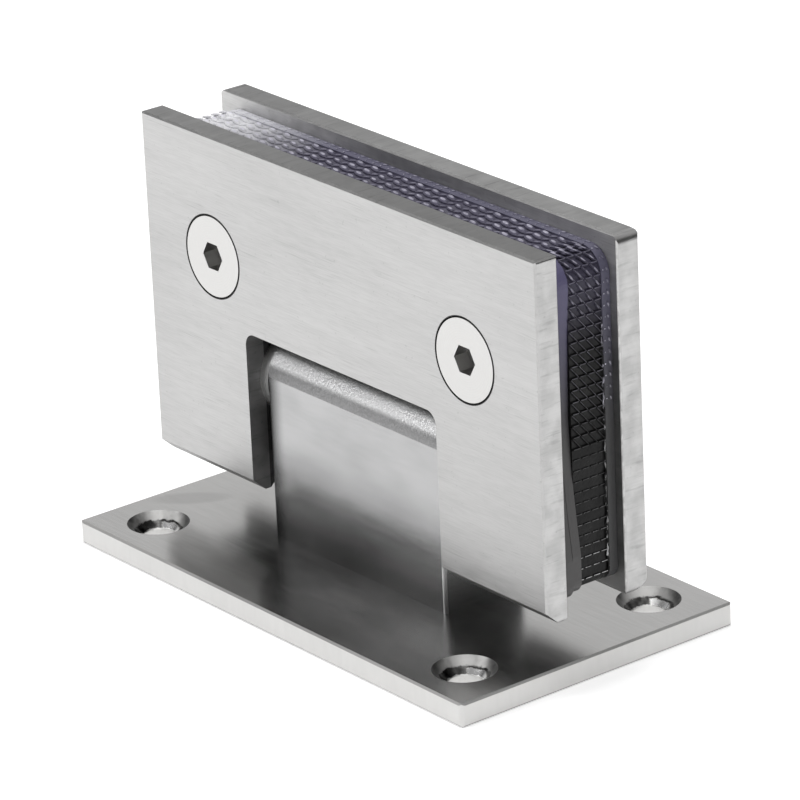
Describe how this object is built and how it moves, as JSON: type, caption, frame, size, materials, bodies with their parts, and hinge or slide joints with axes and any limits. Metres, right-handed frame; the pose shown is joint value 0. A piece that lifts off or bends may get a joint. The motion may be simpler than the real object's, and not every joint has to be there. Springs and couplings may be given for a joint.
{
  "type": "glass door hinge",
  "caption": "Wall-to-glass door hinge: a screw-on base plate with a round-topped knuckle, and a two-plate glass clamp that swings on its spindle.",
  "frame": {"origin": "middle of the base plate's underside, the face that lies on the wall", "axes": "+X along the spindle and the long side of the base, +Z out of the wall towards the glass, -Y the screw side of the clamp"},
  "size_m": [0.09, 0.05, 0.0643],
  "materials": {
    "brushed_plate": "brushed along the spindle, satin",
    "knuckle_steel": "brushed flat faces, bead-blasted round top",
    "clamp_screw_steel": "turned face, satin",
    "inner_screw_steel": "plain steel",
    "turned_steel": "turned",
    "spring_steel": "drawn wire",
    "bush_bronze": "turned",
    "housing_steel": "machined",
    "clear_gasket": "smooth, slightly violet",
    "knurled_gasket": "diamond knurl, dark violet"
  },
  "bodies": {
    "base": {"base_plate": "brushed_plate", "knuckle": "knuckle_steel", "knuckle_screw_left": "inner_screw_steel", "knuckle_screw_right": "inner_screw_steel", "bush_left": "bush_bronze", "bush_right": "bush_bronze", "detent_spring_left": "spring_steel", "detent_spring_right": "spring_steel", "spring_plug_left": "inner_screw_steel", "spring_plug_right": "inner_screw_steel"},
    "plunger_left": {"detent_plunger_left": "turned_steel"},
    "plunger_right": {"detent_plunger_right": "turned_steel"},
    "clamp": {"spindle": "turned_steel", "thrust_washer_left": "turned_steel", "thrust_washer_right": "turned_steel", "pivot_housing": "housing_steel", "grub_screw_left": "inner_screw_steel", "grub_screw_right": "inner_screw_steel", "housing_screw_left": "inner_screw_steel", "housing_screw_right": "inner_screw_steel", "front_plate": "brushed_plate", "back_plate": "brushed_plate", "clamp_screw_left": "clamp_screw_steel", "clamp_screw_right": "clamp_screw_steel", "gasket_smooth_1": "clear_gasket", "gasket_smooth_2": "clear_gasket", "gasket_knurled_1": "knurled_gasket", "gasket_knurled_2": "knurled_gasket", "gasket_knurled_3": "knurled_gasket", "gasket_knurled_4": "knurled_gasket", "gasket_smooth_3": "clear_gasket"}
  },
  "joints": [
    {"name": "door_swing", "type": "hinge", "parent": "base", "child": "clamp", "pos_m": [0, 0, 0.0275], "axis": [1, 0, 0], "range_deg": [-90, 90]},
    {"name": "plunger_left_travel", "type": "slide", "parent": "base", "child": "plunger_left", "axis": [0, 0, 1], "range_m": [0, 0.00038], "deforming": ["detent_spring_left"]},
    {"name": "plunger_right_travel", "type": "slide", "parent": "base", "child": "plunger_right", "axis": [0, 0, 1], "range_m": [0, 0.00038], "deforming": ["detent_spring_right"]}
  ]
}
